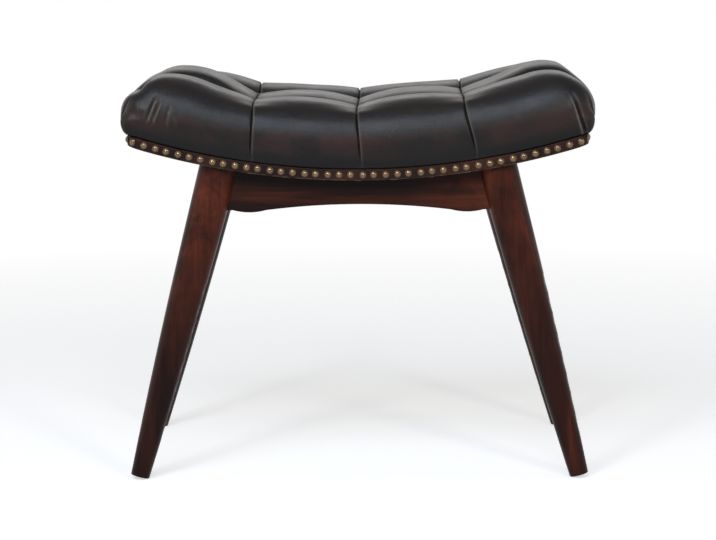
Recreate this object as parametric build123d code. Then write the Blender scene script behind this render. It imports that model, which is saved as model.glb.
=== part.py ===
from build123d import *
import math
import os

# Curved upholstered bench, in millimetres.
# The origin lies on the floor under the middle of the seat: +X to the right, +Y to the back, +Z up.

# Legs: turned, tapered, splayed outwards, with the foot cut square to the leg
leg_inset_side = 112.4      # of its axis from the board's end, where the leg meets the board
leg_inset_end = 28.3        # and from the board's front or back edge
leg_lean_side = 14.8        # degrees from upright, seen from the front
leg_lean_end = 4.0          # degrees from upright, seen from the end
leg_foot_radius = 12.1
leg_shoulder_radius = 23.4      # where the swell below runs into the straight taper of the joint
leg_top_radius = 25.9
leg_shoulder_drop = 128.0       # of that place below the top
leg_foot_chamfer = 0.9

# Seat board: bent plywood, hollow side up
seat_underside_height = 384.5   # at the middle of the saddle
seat_bend_radius = 985.0        # of the underside
board_thickness = 16.0
board_half_length = 290.0
board_half_depth = 178.5
board_corner_radius = 14.0

# Cloth under the board
dust_cover_thickness = 0.8
dust_cover_margin = 7.0
staple_crown = 9.0
staple_wire = 1.2
staple_prong = 6.0
staple_inset = 17.0             # of the end rows from the board's ends
staple_apron_clearance = 1.5
staple_leg_clearance = 9.0
staple_pitch = 46.0

# Leather and cushion: heights are above the board's top face
leather_thickness = 1.5
end_bulge = 17.5                # of the two ends over the board's edge
side_bulge = 10.0               # of the front and back over it
side_bulge_height = 40.0
side_tuck = 2.5                 # how far down the board's edge the sides begin
pillow_height = 84.0
seam_height = 76.0
row_seam_depth = 14.0
crossing_height = 68.0
wing_height_left = 86.5
wing_height_right = 89.0
shoulder_width = 42.0
shoulder_drop = 3.0
seam_pinch = 3.5                # how far a seam draws the front in
end_seam_pinch = 5.0            # how far a seam draws the end in
end_seam_offset = 0.8           # of the end seams outside the top ones
end_row_draw = 7.0              # how far the front and back rows fall short of the middle one
end_corner_draw = 14.0
end_form_height = 96.0
end_plan_round = 30.0

# Ties that pull the crossings down
button_radius = 7.5
button_rise = 3.6
button_edge = 1.2
button_seat_height = 64.5
button_clearance = 0.3
twine_radius = 1.0
tie_washer_radius = 9.0
tie_washer_thickness = 1.2
tie_recess_depth = 3.0
tie_knot_radius = 2.2
tie_knot_thickness = 1.0
tie_clearance = 0.3

# Nailed strip
trim_height = 14.0
trim_thickness = 2.0
trim_butt_gap = 0.6
nail_pitch = 14.7
nail_head_radius = 4.7
nail_head_rise = 2.6
nail_shank_radius = 0.8
nail_length = 12.0
nail_wander = 0.6               # how far the hand-set nails stray from their line
nail_wander_rates = (2.4, 1.7, 0.9)

# Wooden frame under the board
apron_thickness = 20.0
apron_set_back = 2.0
apron_middle_height = 31.7
apron_lobe_drop = 10.1
apron_lobe_half_width = 21.0
apron_lobe_inset = 46.0         # of a lobe's middle from the middle of the leg
rail_thickness = 20.0
rail_end_height = 50.0
rail_arch_rise = 6.0
dowel_radius = 4.0
dowel_length = 32.0
dowel_drop_upper = 18.0
dowel_drop_lower = 38.0
dowel_end_room = 1.0
glue_clearance = 0.05

# Corner blocks and screws
block_side = 48.0
block_height = 36.0
block_screw_offset = 34.0
block_screw_wood = 6.0
block_screw_length = 20.0
block_screw_radius = 2.0
screw_head_radius = 4.0
screw_head_height = 2.6
screw_clearance = 0.3
seat_screw_offset = 14.0
seat_screw_length = 42.0
seat_screw_radius = 2.2

cut_overrun = 5.0

# Where the seams run, as shares of half of the seat's length and depth
column_seam_share = 0.477
row_seam_share = 0.358
# Where the sections of one pillow stand between its seams, and how far its crown has risen there
pillow_place_shares = (0.06, 0.2, 0.5, 0.8, 0.94)
pillow_rise_shares = (0.24, 0.66, 1, 0.66, 0.24)
# The same for the outer pillows, from the seam to the end, with the height as a share of the wing's
wing_place_shares = (0.05, 0.16, 0.34, 0.52, 0.68, 0.79, 0.87, 0.94, 1)
wing_left_shares = (0.91, 0.975, 1, 0.988, 0.88, 0.70, 0.54, 0.38, 0.24)
wing_right_shares = (0.885, 0.96, 1, 0.995, 0.92, 0.77, 0.625, 0.485, 0.34)
wing_seam_shares = (0.5, 0, 0, 0, 0, 0, 0, 0, 0)
# How the ends bulge: levels as shares of the end form's height, reach as shares of the bulge,
# and seams and corners as shares of their full draw
end_level_shares = (0, 0.05, 0.19, 0.41, 1)
end_reach_shares = (0.25, 0.66, 1, 0.86, -0.5)
end_draw_shares = (0.25, 0.7, 1, 1, 1)
lobe_shoulder_share = 0.28

leg_signs = {
    "front_left": (-1, -1),
    "front_right": (1, -1),
    "back_left": (-1, 1),
    "back_right": (1, 1),
}
side_signs = {"left": -1, "right": 1}
end_signs = {"front": -1, "back": 1}

# Derived places
lean_x = math.tan(math.radians(leg_lean_side))
lean_y = math.tan(math.radians(leg_lean_end))
leg_stretch = math.sqrt(1 + lean_x**2 + lean_y**2)
leg_top_x = board_half_length - leg_inset_side
leg_top_y = board_half_depth - leg_inset_end
foot_z = (leg_foot_radius - leg_foot_chamfer) * math.sqrt(1 - 1 / leg_stretch**2)
bend_centre_z = seat_underside_height + seat_bend_radius
cover_half_length = board_half_length + leather_thickness
cover_half_depth = board_half_depth + leather_thickness
cushion_reach = cover_half_length + end_bulge
column_seam_place = cover_half_length * column_seam_share
row_seam_place = cover_half_depth * row_seam_share


def bend_height(x, above_underside):
    """Height of a face that runs the given distance above the board's underside."""
    radius = seat_bend_radius - above_underside
    return bend_centre_z - math.sqrt(radius**2 - x**2)


def board_top(x):
    return bend_height(x, board_thickness)


# The leg's axis meets the underside of the board here
joint_z = bend_height(leg_top_x, -dust_cover_thickness)


def leg_axis(z):
    """Distance of a leg's axis from the middle of the bench at height z."""
    return leg_top_x + (joint_z - z) * lean_x, leg_top_y + (joint_z - z) * lean_y


foot_x, foot_y = leg_axis(foot_z)
joint_middle_z = joint_z - (dowel_drop_upper + dowel_drop_lower) / 2
rail_x, leg_middle_y = leg_axis(joint_middle_z)
apron_y = leg_middle_y - apron_set_back
board_end_top = board_top(cover_half_length)
leg_blank_length = bend_height(board_half_length, 0) * leg_stretch


def bent_zone(low, high, half_length, half_depth):
    """Solid between two faces that run parallel to the board's bent underside."""
    low_radius = seat_bend_radius - low
    high_radius = seat_bend_radius - high
    low_end = (half_length, bend_height(half_length, low))
    high_end = (half_length, bend_height(half_length, high))
    with BuildSketch(Plane.XZ.offset(-half_depth)) as outline:
        with BuildLine():
            ThreePointArc((-low_end[0], low_end[1]), (0, bend_centre_z - low_radius), low_end)
            Line(low_end, high_end)
            ThreePointArc(high_end, (0, bend_centre_z - high_radius), (-high_end[0], high_end[1]))
            Line((-high_end[0], high_end[1]), (-low_end[0], low_end[1]))
        make_face()
    return extrude(outline.sketch, amount=2 * half_depth)


def plan_prism(half_length, half_depth, corner):
    """Tall upright prism over a rectangle with round corners."""
    height = board_end_top + end_form_height
    with BuildSketch() as plan:
        RectangleRounded(2 * half_length, 2 * half_depth, corner)
    return extrude(plan.sketch, amount=height)


def bent_panel(low, high, margin):
    """Panel that follows the board's bend and its plan outline, let out by margin."""
    half_length = board_half_length + margin
    half_depth = board_half_depth + margin
    zone = bent_zone(low, high, half_length + cut_overrun, half_depth + cut_overrun)
    return zone & plan_prism(half_length, half_depth, board_corner_radius + margin)


def above_frame():
    """Everything above the face that the wooden frame is screwed against."""
    top = seat_bend_radius / 2
    return bent_zone(-dust_cover_thickness, top, foot_x, foot_y)


# Frame of wood
def make_leg(sign_x, sign_y):
    """Turned leg with a slight swell, its top shaped to the board."""
    top = (leg_top_radius, leg_blank_length)
    shoulder = (leg_shoulder_radius, leg_blank_length - leg_shoulder_drop)
    foot_edge = (leg_foot_radius, leg_foot_chamfer)
    taper = (shoulder[0] - top[0], shoulder[1] - top[1])
    with BuildSketch(Plane.XZ) as profile:
        with BuildLine():
            Line((0, 0), (leg_foot_radius - leg_foot_chamfer, 0))
            Line((leg_foot_radius - leg_foot_chamfer, 0), foot_edge)
            TangentArc(shoulder, foot_edge, tangent=taper)
            Line(shoulder, top)
            Line(top, (0, leg_blank_length))
            Line((0, leg_blank_length), (0, 0))
        make_face()
    blank = revolve(profile.sketch, Axis.Z)
    direction = Vector(-sign_x * lean_x, -sign_y * lean_y, 1)
    foot = Plane(origin=(sign_x * foot_x, sign_y * foot_y, foot_z), x_dir=(0, sign_y, 0), z_dir=direction)
    return foot.location * blank - above_frame()


def make_apron(sign_y):
    """Board between two legs: a shallow arch with a lobe at each end."""
    top_radius = seat_bend_radius + dust_cover_thickness
    end_x = rail_x - rail_thickness / 2 + dowel_radius
    end_top = bend_height(end_x, -dust_cover_thickness)
    middle_z = bend_height(0, -dust_cover_thickness) - apron_middle_height
    lobe_z = middle_z - apron_lobe_drop
    shoulder_z = lobe_z + apron_lobe_drop * lobe_shoulder_share
    lobe_x = rail_x - apron_lobe_inset
    near = (lobe_x - apron_lobe_half_width, shoulder_z)
    low = (lobe_x, lobe_z)
    far = (lobe_x + apron_lobe_half_width, shoulder_z)
    with BuildSketch(Plane.XZ.offset(-(sign_y * apron_y + apron_thickness / 2))) as outline:
        with BuildLine():
            ThreePointArc((-near[0], near[1]), (0, middle_z), near)
            ThreePointArc(near, low, far)
            Line(far, (end_x, shoulder_z))
            Line((end_x, shoulder_z), (end_x, end_top))
            ThreePointArc((end_x, end_top), (0, bend_centre_z - top_radius), (-end_x, end_top))
            Line((-end_x, end_top), (-end_x, shoulder_z))
            Line((-end_x, shoulder_z), (-far[0], far[1]))
            ThreePointArc((-far[0], far[1]), (-low[0], low[1]), (-near[0], near[1]))
        make_face()
    return extrude(outline.sketch, amount=apron_thickness)


def make_rail(sign_x):
    """Rail between a front and a back leg, with an arched lower edge."""
    end_y = leg_middle_y
    low_z = joint_z - rail_end_height
    arch_z = low_z + rail_arch_rise
    top_z = board_end_top
    with BuildSketch(Plane.YZ.offset(sign_x * rail_x - rail_thickness / 2)) as outline:
        with BuildLine():
            ThreePointArc((-end_y, low_z), (0, arch_z), (end_y, low_z))
            Polyline((end_y, low_z), (end_y, top_z), (-end_y, top_z), (-end_y, low_z))
        make_face()
    return extrude(outline.sketch, amount=rail_thickness) - above_frame()


def dowel_places():
    """Start, direction and length of each dowel, across the faces where rail and leg meet."""
    apron_pins, rail_pins = [], []
    for sign_x, sign_y in leg_signs.values():
        for drop in (dowel_drop_upper, dowel_drop_lower):
            z = joint_z - drop
            axis_x, axis_y = leg_axis(z)
            reach = leg_top_radius + dowel_length / 2
            apron_pins.append(((sign_x * (axis_x - reach), sign_y * apron_y, z), (sign_x, 0, 0)))
            rail_pins.append(((sign_x * rail_x, sign_y * (axis_y - reach), z), (0, sign_y, 0)))
    return apron_pins, rail_pins


def rod(start, direction, radius, length, room=0):
    """Round rod, or with room the hole for it, which runs that far past both ends."""
    plane = Plane(origin=start, z_dir=direction)
    return Solid.make_cylinder(radius, length + 2 * room, plane.offset(-room))


def cut_by(body, cutters):
    """The body less every cutter that reaches it, cut one after another."""
    box = body.bounding_box()
    for cutter in cutters:
        other = cutter.bounding_box()
        apart = any(
            low > high
            for low, high in zip((*box.min, *other.min), (*other.max, *box.max))
        )
        if not apart:
            body = body - cutter
    return body


def make_block(sign_x, sign_y):
    """Triangular block in the corner of apron and rail."""
    inner_x = rail_x - rail_thickness / 2
    inner_y = apron_y - apron_thickness / 2
    low_z = joint_z - block_height
    with BuildSketch(Plane.XY.offset(low_z)) as plan:
        with BuildLine():
            Polyline(
                (sign_x * inner_x, sign_y * inner_y),
                (sign_x * (inner_x - block_side), sign_y * inner_y),
                (sign_x * inner_x, sign_y * (inner_y - block_side)),
                close=True,
            )
        make_face()
    return extrude(plan.sketch, amount=board_end_top - low_z) - above_frame()


def block_screw_places(sign_x, sign_y):
    """Head seat and direction of the two screws that hold one block."""
    inner_x = rail_x - rail_thickness / 2
    inner_y = apron_y - apron_thickness / 2
    into_apron = (
        (sign_x * (inner_x - block_screw_offset), sign_y * (inner_y - block_screw_wood), joint_middle_z),
        (0, sign_y, 0),
    )
    into_rail = (
        (sign_x * (inner_x - block_screw_wood), sign_y * (inner_y - block_screw_offset), joint_middle_z),
        (sign_x, 0, 0),
    )
    return into_apron, into_rail


def seat_screw_place(sign_x, sign_y):
    x = sign_x * (rail_x - rail_thickness / 2 - seat_screw_offset)
    y = sign_y * (apron_y - apron_thickness / 2 - seat_screw_offset)
    return (x, y, joint_z - block_height)


def pan_screw(start, direction, radius, length):
    """Pan-head wood screw: a domed head on its seat, and a shank with a pointed end."""
    tip = 2 * radius
    rim = screw_head_height / 2
    with BuildSketch(Plane.XZ) as profile:
        with BuildLine():
            Line((0, length), (radius, length - tip))
            Line((radius, length - tip), (radius, 0))
            Line((radius, 0), (screw_head_radius, 0))
            Line((screw_head_radius, 0), (screw_head_radius, -rim))
            TangentArc((0, -screw_head_height), (screw_head_radius, -rim), tangent=(1, 0))
            Line((0, -screw_head_height), (0, length))
        make_face()
    body = revolve(profile.sketch, Axis.Z)
    slot = Box(radius, 2 * screw_head_radius, screw_head_height)
    screw = body - Pos(0, 0, -screw_head_height) * slot
    return Plane(origin=start, z_dir=direction).location * screw


# Cushion
def cushion_section(x, half_depth, bulge, crown, valley, inset):
    """Cross-section of the cushion at x: drawn-in sides, rolled edges and three crowns."""
    base = board_top(x)
    foot = half_depth - inset
    full = foot + bulge
    fullness = crown / pillow_height
    start = base - side_tuck
    lowest = start - cut_overrun
    waist = (full, base + side_bulge_height * fullness)
    roll = (full - shoulder_width * fullness, base + crown - shoulder_drop * fullness - inset)
    dip = (row_seam_place, base + valley - inset)
    top = base + crown - inset
    edges = [Line((-foot, lowest), (foot, lowest)).edge()]
    for side in (1, -1):
        side_arc = TangentArc((side * waist[0], waist[1]), (side * foot, start), tangent=(0, -1)).edge()
        shoulder = TangentArc((side * waist[0], waist[1]), (side * roll[0], roll[1]), tangent=(0, 1)).edge()
        crown_start = shoulder % 1
        outer_crown = TangentArc(
            (side * roll[0], roll[1]), (side * dip[0], dip[1]), tangent=crown_start
        ).edge()
        straight = Line((side * foot, lowest), (side * foot, start)).edge()
        edges += [straight, side_arc, shoulder, outer_crown]
    edges.append(ThreePointArc((-dip[0], dip[1]), (0, top), dip).edge())
    plane = Plane(origin=(x, 0, 0), x_dir=(0, 1, 0), z_dir=(1, 0, 0))
    return Wire([plane.from_local_coords(edge) for edge in edges])


def seam_section(x, inset):
    """Section on a seam, where the crowns are low and the front and back are drawn in."""
    bulge = side_bulge - seam_pinch
    return cushion_section(x, cover_half_depth, bulge, seam_height, crossing_height, inset)


def inner_pillow(start_x, end_x, inset):
    """Sections of the pillows between two seams."""
    wires = []
    for place, rise in zip(pillow_place_shares, pillow_rise_shares):
        x = start_x + (end_x - start_x) * place
        crown = seam_height + (pillow_height - seam_height) * rise
        valley = crossing_height + (pillow_height - row_seam_depth - crossing_height) * rise
        bulge = side_bulge - seam_pinch * (1 - rise)
        wires.append(cushion_section(x, cover_half_depth, bulge, crown, valley, inset))
    return wires


def wing_half_depth(x):
    """Half of the cushion's depth, which rounds off towards the end."""
    start = cushion_reach - end_plan_round
    beyond = max(0, x - start)
    return cover_half_depth - end_plan_round + math.sqrt(max(0, end_plan_round**2 - beyond**2))


def wing(side, wing_height, height_shares, inset):
    """Sections of the outer pillows, which fall away to the end of the cushion."""
    end_x = cushion_reach + cut_overrun
    wires = []
    for place, height, seam in zip(wing_place_shares, height_shares, wing_seam_shares):
        x = column_seam_place + (end_x - column_seam_place) * place
        crown = wing_height * height
        valley = crown - row_seam_depth * crown / pillow_height * (1 - seam / 2)
        bulge = side_bulge - seam_pinch * seam
        wires.append(cushion_section(side * x, wing_half_depth(x), bulge, crown, valley, inset))
    return wires


def end_outline(z, reach, draw):
    """Plan section at height z, its two ends each drawn in by the two seams and at the corners."""
    half_depth = cover_half_depth + 2 * side_bulge
    corner = end_corner_draw * draw
    corner_y = cover_half_depth - corner / 2
    row_reach = reach - end_row_draw * draw
    seam_y = row_seam_place + end_seam_offset
    middle_y = (seam_y + corner_y) / 2
    seam_reach = reach - (end_row_draw / 2 + end_seam_pinch) * draw
    edges = []
    for side in (1, -1):
        points = [
            (side * (row_reach - corner), -corner_y * side),
            (side * row_reach, -middle_y * side),
            (side * seam_reach, -seam_y * side),
            (side * reach, 0),
            (side * seam_reach, seam_y * side),
            (side * row_reach, middle_y * side),
            (side * (row_reach - corner), corner_y * side),
        ]
        for first in (0, 2, 4):
            edges.append(ThreePointArc(*points[first : first + 3]).edge())
        far = (side * (row_reach - 2 * corner), half_depth * side)
        near = (-side * (row_reach - 2 * corner), half_depth * side)
        other = (-side * (row_reach - corner), corner_y * side)
        edges.append(Line(points[6], far).edge())
        edges.append(Line(far, near).edge())
        edges.append(Line(near, other).edge())
    return Wire([Pos(0, 0, z) * edge for edge in edges])


def end_form(inset):
    """Upright form that gives the cushion its bulging, seamed ends."""
    wires = []
    for level, reach, draw in zip(end_level_shares, end_reach_shares, end_draw_shares):
        z = board_end_top + end_form_height * level
        wires.append(end_outline(z, cover_half_length + end_bulge * reach - inset, draw))
    tall_box = Box(
        2 * (cover_half_length - inset),
        2 * (cover_half_depth + 2 * side_bulge),
        board_end_top,
        align=(Align.CENTER, Align.CENTER, Align.MIN),
    )
    return tall_box, Solid.make_loft(wires)


def cushion_form(inset):
    """The whole cushion, let in by inset all over, cut to the board's top face."""
    wires = wing(-1, wing_height_left, wing_left_shares, inset)[::-1]
    wires += [seam_section(-column_seam_place, inset)]
    wires += inner_pillow(-column_seam_place, 0, inset)
    wires += [seam_section(0, inset)]
    wires += inner_pillow(0, column_seam_place, inset)
    wires += [seam_section(column_seam_place, inset)]
    wires += wing(1, wing_height_right, wing_right_shares, inset)
    body = Solid.make_loft(wires) & (Part() + list(end_form(inset)))
    below = bent_zone(-seat_bend_radius / 2, board_thickness, board_half_length * 2, board_half_depth * 2)
    return body - below


# Ties
def tie_places():
    """Plan places of the ties, over the crossings of the seams."""
    columns = (-column_seam_place, 0, column_seam_place)
    return [(x, side * row_seam_place) for x in columns for side in (-1, 1)]


def button_seat(x):
    return board_top(x) + button_seat_height


def tie_recess_top(x):
    return bend_height(x, 0) + tie_recess_depth


def make_button(x, y):
    """Low domed button."""
    with BuildSketch(Plane.XZ) as profile:
        with BuildLine():
            Polyline((0, button_rise), (0, 0), (button_radius, 0), (button_radius, button_edge))
            TangentArc((0, button_rise), (button_radius, button_edge), tangent=(1, 0))
        make_face()
    return Pos(x, y, button_seat(x)) * revolve(profile.sketch, Axis.Z)


def make_twine(x, y):
    """Twine from the button down through the board, with its knot under the washer."""
    knot_top = tie_recess_top(x) - tie_washer_thickness
    knot = Pos(x, y, knot_top) * Cylinder(
        tie_knot_radius, tie_knot_thickness, align=(Align.CENTER, Align.CENTER, Align.MAX)
    )
    return knot + rod((x, y, knot_top), (0, 0, 1), twine_radius, button_seat(x) - knot_top)


def make_tie_washer(x, y):
    low = tie_recess_top(x) - tie_washer_thickness
    ring = Cylinder(tie_washer_radius, tie_washer_thickness, align=(Align.CENTER, Align.CENTER, Align.MIN))
    hole = Cylinder(twine_radius + tie_clearance, 2 * board_thickness)
    return Pos(x, y, low) * (ring - hole)


def tie_holes(x, y):
    """Hole for the twine, and the recess under the board that hides washer and knot."""
    low = seat_underside_height - cut_overrun
    depth = button_seat(x) - low + cut_overrun
    twine_hole = rod((x, y, low), (0, 0, 1), twine_radius + tie_clearance, depth)
    recess = rod((x, y, low), (0, 0, 1), tie_washer_radius + tie_clearance, tie_recess_top(x) - low)
    return twine_hole, recess


def button_dimple(x, y, inset):
    """Space over the button's seat, which the leather lines."""
    radius = button_radius + button_clearance + inset
    return rod((x, y, button_seat(x) - inset), (0, 0, 1), radius, pillow_height)


# Nailed strip
def edge_walk():
    """Places round the strip's outer face, evenly spaced but for a small wander, as frames."""
    half_length = cover_half_length + trim_thickness
    half_depth = cover_half_depth + trim_thickness
    corner = board_corner_radius + leather_thickness + trim_thickness
    flat_x = half_length - corner
    flat_y = half_depth - corner
    bent_radius = seat_bend_radius - trim_height / 2
    front = 2 * bent_radius * math.asin(flat_x / bent_radius)
    turn = corner * math.pi / 2
    end = 2 * flat_y
    total = 2 * (front + end) + 4 * turn
    count = round(total / nail_pitch)
    places = []
    for index in range(count):
        along = (index + 1 / 3) * total / count
        sway, rise, fade = [index * rate for rate in nail_wander_rates]
        along += nail_wander * math.sin(sway)
        up = nail_wander * math.sin(rise) * math.cos(fade) / 2
        half_turned = along >= total / 2
        if half_turned:
            along -= total / 2
        if along < front:
            x, y, angle = bent_radius * math.sin((along - front / 2) / bent_radius), -half_depth, -90
        elif along < front + turn:
            angle = (along - front) / turn * 90 - 90
            x = flat_x + corner * math.cos(math.radians(angle))
            y = -flat_y + corner * math.sin(math.radians(angle))
        elif along < front + turn + end:
            x, y, angle = half_length, along - front - turn - flat_y, 0
        else:
            angle = (along - front - turn - end) / turn * 90
            x = flat_x + corner * math.cos(math.radians(angle))
            y = flat_y + corner * math.sin(math.radians(angle))
        if half_turned:
            x, y, angle = -x, -y, angle + 180
        z = bend_height(x, trim_height / 2) + up
        places.append((x, y, z, angle))
    return places


def nail_side(x, y, angle):
    """Which side of the bench a nail belongs to."""
    across = math.cos(math.radians(angle))
    if abs(across) > math.sqrt(0.5):
        return "right" if x > 0 else "left"
    return "back" if y > 0 else "front"


def make_nail():
    """Upholstery nail with a domed head, its shank pointing down."""
    tip = nail_length - 3 * nail_shank_radius
    with BuildSketch(Plane.XZ) as profile:
        with BuildLine():
            Polyline((0, nail_head_rise), (0, -nail_length), (nail_shank_radius, -tip))
            Polyline((nail_shank_radius, -tip), (nail_shank_radius, 0), (nail_head_radius, 0))
            TangentArc((0, nail_head_rise), (nail_head_radius, 0), tangent=(1, 0))
        make_face()
    return revolve(profile.sketch, Axis.Z)


def make_trim():
    """Strip round the edge of the board; its two ends butt in the middle of the back."""
    inner = plan_prism(cover_half_length, cover_half_depth, board_corner_radius + leather_thickness)
    gap = Box(trim_butt_gap, 2 * trim_thickness + 2 * leather_thickness, 4 * trim_height)
    gap_place = Pos(0, cover_half_depth + leather_thickness, seat_underside_height)
    return bent_panel(0, trim_height, leather_thickness + trim_thickness) - inner - gap_place * gap


# Cloth under the board
def staple_places():
    """Frames on the cloth's lower face, between the legs and beside them."""
    reach = leg_top_radius + staple_leg_clearance + staple_crown / 2
    inner = leg_top_x - reach
    line_x = board_half_length - staple_inset
    line_y = apron_y + (apron_thickness + staple_wire) / 2 + staple_apron_clearance
    across = round(2 * inner / staple_pitch)
    along = round(2 * line_y / staple_pitch)
    row = [inner * (2 * index / across - 1) for index in range(across + 1)]
    beside = (leg_top_x + reach + line_x) / 2
    row += [-beside, beside]
    column = [line_y * (2 * index / along - 1) for index in range(1, along)]
    spots = [(x, side * line_y, True) for side in (-1, 1) for x in row]
    spots += [(side * line_x, y, False) for side in (-1, 1) for y in column]
    frames = []
    for x, y, follows_bend in spots:
        z = bend_height(x, -dust_cover_thickness)
        upright = Vector(-x, 0, bend_centre_z - z).normalized()
        crown_way = Vector(upright.Z, 0, -upright.X) if follows_bend else Vector(0, 1, 0)
        frames.append(Plane(origin=(x, y, z), x_dir=crown_way, z_dir=upright))
    return frames


def make_staple(frame):
    """Wire staple: its crown under the cloth and two prongs up into the board."""
    crown = Box(staple_crown, staple_wire, staple_wire, align=(Align.CENTER, Align.CENTER, Align.MAX))
    staple = crown
    for prong in staple_prongs(0):
        staple += prong
    return frame.location * staple


def staple_prongs(room):
    """The two prongs, or with room the holes that they stand in."""
    side = staple_wire + 2 * room
    height = dust_cover_thickness + staple_prong + room
    offset = (staple_crown - staple_wire) / 2
    prong = Box(side, side, height, align=(Align.CENTER, Align.CENTER, Align.MIN))
    return [Pos(way * offset, 0, 0) * prong for way in (-1, 1)]


def build_nodes():
    """Every node of the bench by name."""
    legs = {name: make_leg(*signs) for name, signs in leg_signs.items()}
    aprons = {name: make_apron(sign) for name, sign in end_signs.items()}
    blocks = {name: make_block(*signs) for name, signs in leg_signs.items()}
    apron_pins, rail_pins = dowel_places()
    dowel_holes = [
        rod(start, way, dowel_radius + glue_clearance, dowel_length, dowel_end_room)
        for start, way in apron_pins + rail_pins
    ]
    block_screws, screw_holes, head_pockets = [], [], []
    for signs in leg_signs.values():
        for start, way in block_screw_places(*signs):
            block_screws.append(pan_screw(start, way, block_screw_radius, block_screw_length))
            screw_holes.append(rod(start, way, block_screw_radius + glue_clearance, block_screw_length))
            pocket_radius = screw_head_radius + screw_clearance
            back = tuple(-part for part in way)
            head_pockets.append(rod(start, back, pocket_radius, block_side))
    seat_screws, seat_holes = [], []
    for signs in leg_signs.values():
        start = seat_screw_place(*signs)
        seat_screws.append(pan_screw(start, (0, 0, 1), seat_screw_radius, seat_screw_length))
        seat_holes.append(rod(start, (0, 0, 1), seat_screw_radius + glue_clearance, seat_screw_length))

    nodes = {}
    leg_solids = list(legs.values())
    for name, leg in legs.items():
        nodes["leg_" + name] = cut_by(leg, dowel_holes)
    for name, apron in aprons.items():
        nodes["apron_" + name] = cut_by(apron, dowel_holes + screw_holes + leg_solids)
    left_rail = cut_by(make_rail(side_signs["left"]), dowel_holes + screw_holes + leg_solids)
    nodes["side_rail_left"] = left_rail
    nodes["side_rail_right"] = mirror(left_rail, about=Plane.YZ)
    for name, block in blocks.items():
        holes = screw_holes + head_pockets + seat_holes
        nodes["corner_block_" + name] = cut_by(block, holes + leg_solids)
    nodes["apron_dowels"] = [rod(start, way, dowel_radius, dowel_length) for start, way in apron_pins]
    nodes["rail_dowels"] = [rod(start, way, dowel_radius, dowel_length) for start, way in rail_pins]
    nodes["block_screws"] = block_screws
    nodes["seat_screws"] = seat_screws

    places = edge_walk()
    frames = [
        Plane(origin=(x, y, z), z_dir=(math.cos(math.radians(angle)), math.sin(math.radians(angle)), 0))
        for x, y, z, angle in places
    ]
    nail = make_nail()
    shank_hole = rod((0, 0, -nail_length), (0, 0, 1), nail_shank_radius + glue_clearance, nail_length)
    nail_holes = [frame.location * shank_hole for frame in frames]
    for side in ("front", "right", "back", "left"):
        nodes["nails_" + side] = [
            frame.location * nail
            for frame, (x, y, z, angle) in zip(frames, places)
            if nail_side(x, y, angle) == side
        ]
    nodes["trim_band"] = make_trim() - nail_holes

    ties = tie_places()
    twine_holes, tie_recesses = zip(*[tie_holes(*tie) for tie in ties])
    staple_frames = staple_places()
    hole_pair = staple_prongs(glue_clearance)
    prong_holes = [frame.location * hole for frame in staple_frames for hole in hole_pair]
    board = bent_panel(0, board_thickness, 0)
    board_holes = nail_holes + seat_holes + prong_holes
    nodes["seat_board"] = board - board_holes - list(twine_holes) - list(tie_recesses)
    dust_cover = bent_panel(-dust_cover_thickness, 0, -dust_cover_margin)
    nodes["dust_cover"] = dust_cover - seat_holes - prong_holes
    nodes["dust_cover_staples"] = [make_staple(frame) for frame in staple_frames]

    foam_space = cushion_form(leather_thickness)
    lined_dimples = [button_dimple(*tie, leather_thickness) for tie in ties]
    dimples = [button_dimple(*tie, 0) for tie in ties]
    foam_form = foam_space - lined_dimples
    skirt = bent_panel(0, board_thickness, leather_thickness) - plan_prism(
        board_half_length, board_half_depth, board_corner_radius
    )
    cover = (cushion_form(0) - foam_form) - dimples + skirt
    nodes["foam_pad"] = foam_form - list(twine_holes)
    nodes["leather_cover"] = cover - list(twine_holes) - nail_holes
    nodes["tuft_buttons"] = [make_button(*tie) for tie in ties]
    nodes["tuft_twines"] = [make_twine(*tie) for tie in ties]
    nodes["tuft_washers"] = [make_tie_washer(*tie) for tie in ties]
    return nodes


os.makedirs("parts", exist_ok=True)
for node_name, shape in build_nodes().items():
    if isinstance(shape, list):
        shape = Compound(children=[solid for item in shape for solid in item.solids()])
    export_step(shape, "parts/" + node_name + ".step")
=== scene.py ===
import bmesh
import bpy
import math
import numpy as np
from mathutils import Matrix, Vector


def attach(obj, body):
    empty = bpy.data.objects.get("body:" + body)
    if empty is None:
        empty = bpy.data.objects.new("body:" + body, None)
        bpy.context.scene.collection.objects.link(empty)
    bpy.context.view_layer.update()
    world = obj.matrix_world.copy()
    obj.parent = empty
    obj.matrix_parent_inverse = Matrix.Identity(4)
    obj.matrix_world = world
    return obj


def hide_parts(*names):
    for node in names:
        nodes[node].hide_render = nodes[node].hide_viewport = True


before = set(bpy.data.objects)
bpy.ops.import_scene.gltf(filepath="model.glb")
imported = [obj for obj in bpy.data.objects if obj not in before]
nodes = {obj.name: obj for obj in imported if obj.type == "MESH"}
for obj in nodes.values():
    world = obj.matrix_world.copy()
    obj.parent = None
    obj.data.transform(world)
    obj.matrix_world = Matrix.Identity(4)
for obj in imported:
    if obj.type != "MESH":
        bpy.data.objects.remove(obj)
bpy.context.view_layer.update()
print("frame loaded")


# the curve of the seat, shared by everything that lies on it
seat = {
    "bendRadius": 0.985,  # of the board's underside
    "underside": 0.3845,  # height at the middle
    "board": 0.016,
    "halfLength": 0.2915,  # over the leather that wraps the board's edge
    "halfDepth": 0.180,
    "corner": 0.0155,
}


def bendHeight(x, above):
    radius = seat["bendRadius"] - above
    return seat["underside"] + seat["bendRadius"] - np.sqrt(radius * radius - np.asarray(x) ** 2)


def meshObject(name, bm):
    mesh = bpy.data.meshes.new(name)
    bm.to_mesh(mesh)
    bm.free()
    piece = bpy.data.objects.new(name, mesh)
    bpy.context.scene.collection.objects.link(piece)
    return piece


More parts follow.
